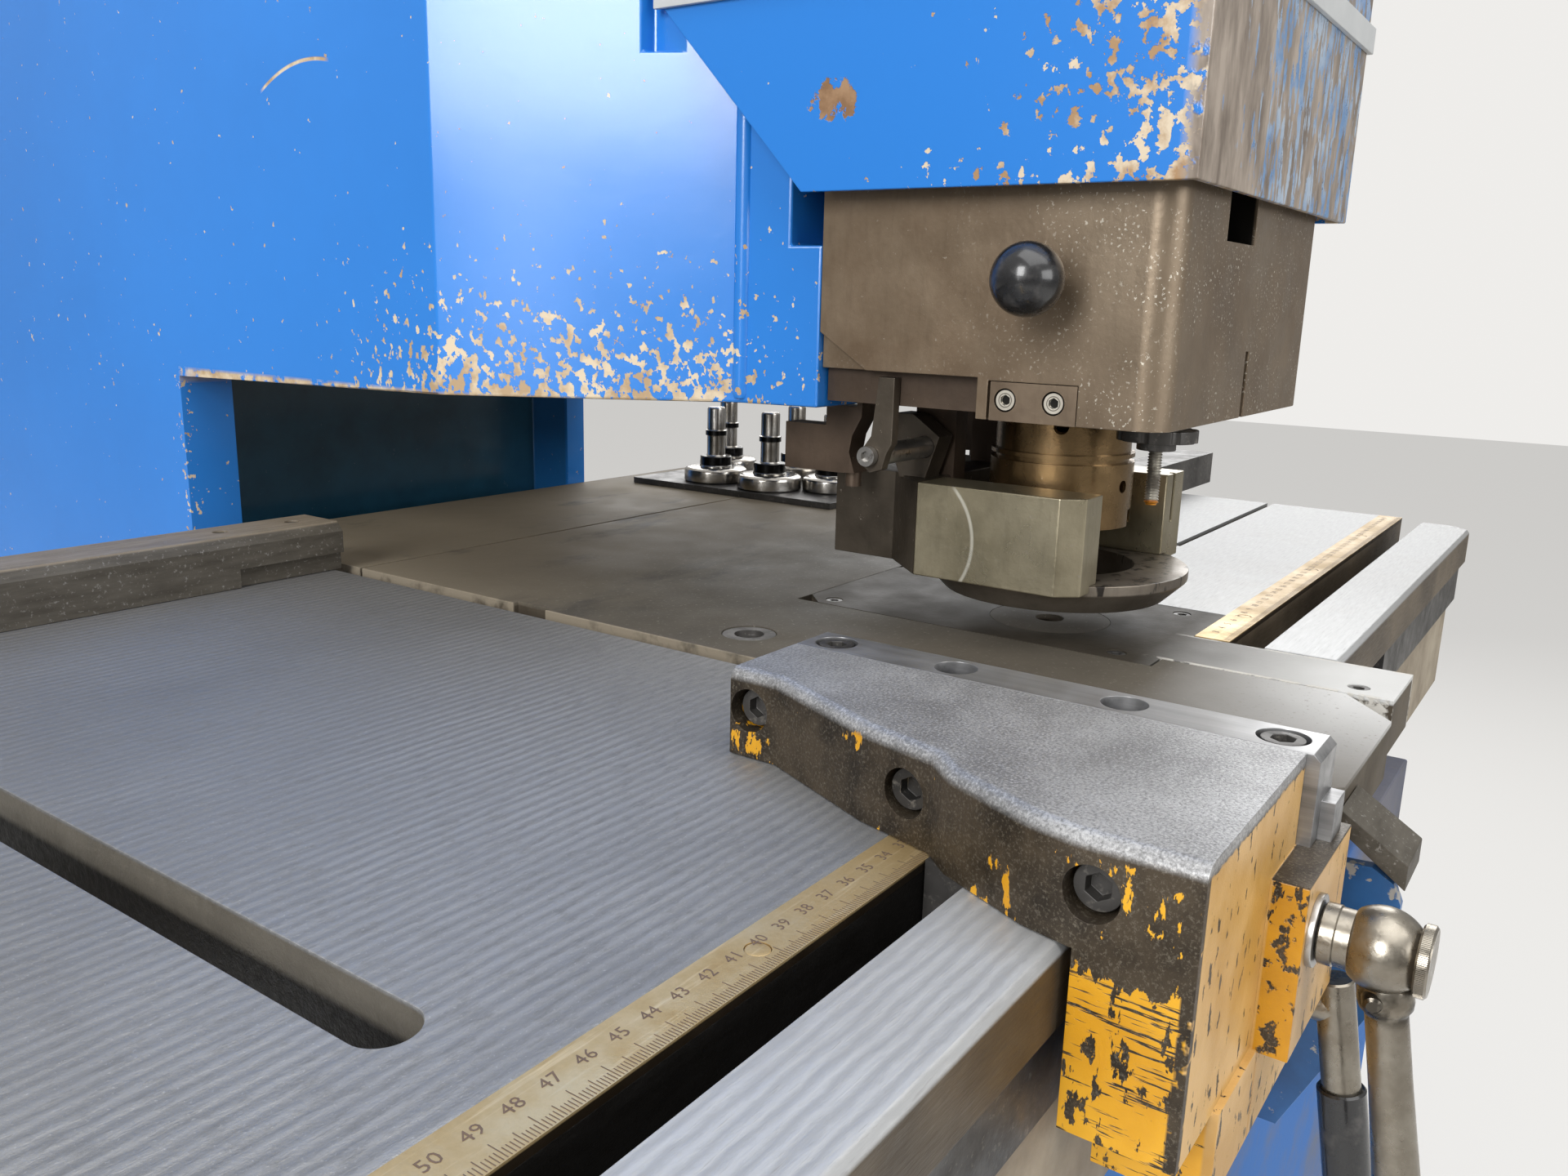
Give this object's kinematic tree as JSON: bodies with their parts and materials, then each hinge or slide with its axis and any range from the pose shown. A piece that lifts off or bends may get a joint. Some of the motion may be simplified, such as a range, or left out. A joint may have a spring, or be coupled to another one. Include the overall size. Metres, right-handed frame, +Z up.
{
  "type": "single-station punching machine",
  "caption": "Floor-standing C-frame sheet punching machine with a steel table, brass scales, a sliding gauge with clamp levers, a stripper head and a ram.",
  "frame": {"origin": "on the floor under the punch axis", "axes": "+X to the operator's right, +Y back into the throat, +Z up"},
  "size_m": [1.325, 1.3153, 1.46],
  "materials": {
    "blue_paint": "glossy azure enamel with chips",
    "dark_paint": "dark machine enamel",
    "grey_paint": "light grey paint",
    "dark_steel": "blackened steel",
    "ground_steel": "ground steel, worn",
    "oiled_steel": "smooth oiled steel",
    "head_steel": "oily brown steel",
    "bronze_steel": "bronze-brown oiled steel",
    "screw_steel": "bare screws",
    "lever_steel": "polished lever steel",
    "casting_iron": "rubbed casting with remains of paint",
    "scale_brass": "engraved brass",
    "black_plastic": "black plastic",
    "green_plastic": "green button",
    "red_plastic": "red button"
  },
  "bodies": {
    "frame": {"floor_plate": "dark_paint", "c_frame": "blue_paint", "die_bolster": "dark_steel", "table_packers": "dark_steel", "left_wing": "ground_steel", "centre_plate": "oiled_steel", "back_plate": "oiled_steel", "right_wing": "ground_steel", "die_plate": "oiled_steel", "left_rail": "ground_steel", "right_rail": "ground_steel", "left_scale": "scale_brass", "right_scale": "scale_brass", "left_beam": "dark_steel", "right_beam": "dark_steel", "left_brackets": "blue_paint", "right_brackets": "blue_paint", "table_screws": "screw_steel", "head_housing": "head_steel", "guide_block": "head_steel", "head_cover": "blue_paint", "cover_trim": "grey_paint", "side_plate": "head_steel", "die_insert": "oiled_steel", "hydraulic_cylinder": "dark_paint", "threaded_rod": "dark_steel", "right_fence": "dark_steel", "lever_bracket": "blue_paint", "bracket_strap": "grey_paint", "tool_tray": "dark_paint", "punch_holders": "ground_steel", "oil_tank": "dark_paint", "pump_motor": "dark_paint", "door_hinges": "dark_steel", "switch_box": "grey_paint"},
    "ram_body": {"ram": "bronze_steel", "punch_ring": "bronze_steel"},
    "selector": {"ball_knob": "black_plastic", "knob_stem": "screw_steel"},
    "adjusting_nut": {"hand_nut": "dark_steel"},
    "stripper": {"stripper_body": "head_steel", "stripper_jaws": "ground_steel", "stripper_disc": "dark_steel", "latch_pin": "screw_steel"},
    "latch": {"latch_link": "head_steel"},
    "fence": {"fence_bar": "dark_steel", "fence_clamp": "dark_steel"},
    "gauge": {"gauge_casting": "casting_iron", "gauge_strip": "ground_steel", "gauge_screws": "dark_steel", "slot_key": "dark_steel", "clamp_stud": "screw_steel"},
    "clamp": {"clamp_lever": "lever_steel"},
    "lock": {"lock_lever": "lever_steel", "lever_sleeve": "black_plastic"},
    "door": {"rear_door": "blue_paint"},
    "switch": {"main_switch": "black_plastic"},
    "start": {"start_button": "green_plastic"},
    "stop": {"stop_button": "red_plastic"},
    "emergency": {"emergency_button": "red_plastic"}
  },
  "joints": [
    {"name": "ram_stroke", "type": "slide", "parent": "frame", "child": "ram_body", "axis": [0, 0, 1], "range_m": [-0.025, 0]},
    {"name": "selector_pull", "type": "slide", "parent": "frame", "child": "selector", "axis": [-1, 0, 0], "range_m": [0, 0.012]},
    {"name": "adjusting_nut_turn", "type": "hinge", "parent": "frame", "child": "adjusting_nut", "pos_m": [-0.03, -0.056, 0.999], "axis": [0, 0, 1], "range_deg": [-180, 180]},
    {"name": "stripper_height", "type": "slide", "parent": "frame", "child": "stripper", "axis": [0, 0, 1], "range_m": [-0.008, 0]},
    {"name": "latch_pivot", "type": "hinge", "parent": "stripper", "child": "latch", "pos_m": [-0.1018, 0.047, 0.9867], "axis": [1, 0, 0], "range_deg": [0, 60]},
    {"name": "fence_slide", "type": "slide", "parent": "frame", "child": "fence", "axis": [0, 1, 0], "range_m": [-0.3, 0]},
    {"name": "gauge_slide", "type": "slide", "parent": "frame", "child": "gauge", "axis": [1, 0, 0], "range_m": [-0.42, 0.01]},
    {"name": "clamp_turn", "type": "hinge", "parent": "gauge", "child": "clamp", "pos_m": [-0.228, -0.1965, 0.8855], "axis": [0, -1, 0], "range_deg": [-60, 60]},
    {"name": "lock_turn", "type": "hinge", "parent": "gauge", "child": "lock", "pos_m": [-0.18, -0.18, 0.838], "axis": [0, -1, 0], "range_deg": [-50, 20]},
    {"name": "door_hinge", "type": "hinge", "parent": "frame", "child": "door", "pos_m": [-0.134, 1.068, 0.4], "axis": [0, 0, 1], "range_deg": [0, 110]},
    {"name": "main_switch_turn", "type": "hinge", "parent": "frame", "child": "switch", "pos_m": [0.241, 0.735, 1.25], "axis": [1, 0, 0], "range_deg": [-90, 0]},
    {"name": "start_push", "type": "slide", "parent": "frame", "child": "start", "axis": [-1, 0, 0], "range_m": [0, 0.004], "stiffness_N_per_m": 400},
    {"name": "stop_push", "type": "slide", "parent": "frame", "child": "stop", "axis": [-1, 0, 0], "range_m": [0, 0.004], "stiffness_N_per_m": 400},
    {"name": "emergency_push", "type": "slide", "parent": "frame", "child": "emergency", "axis": [-1, 0, 0], "range_m": [0, 0.006], "stiffness_N_per_m": 500}
  ]
}
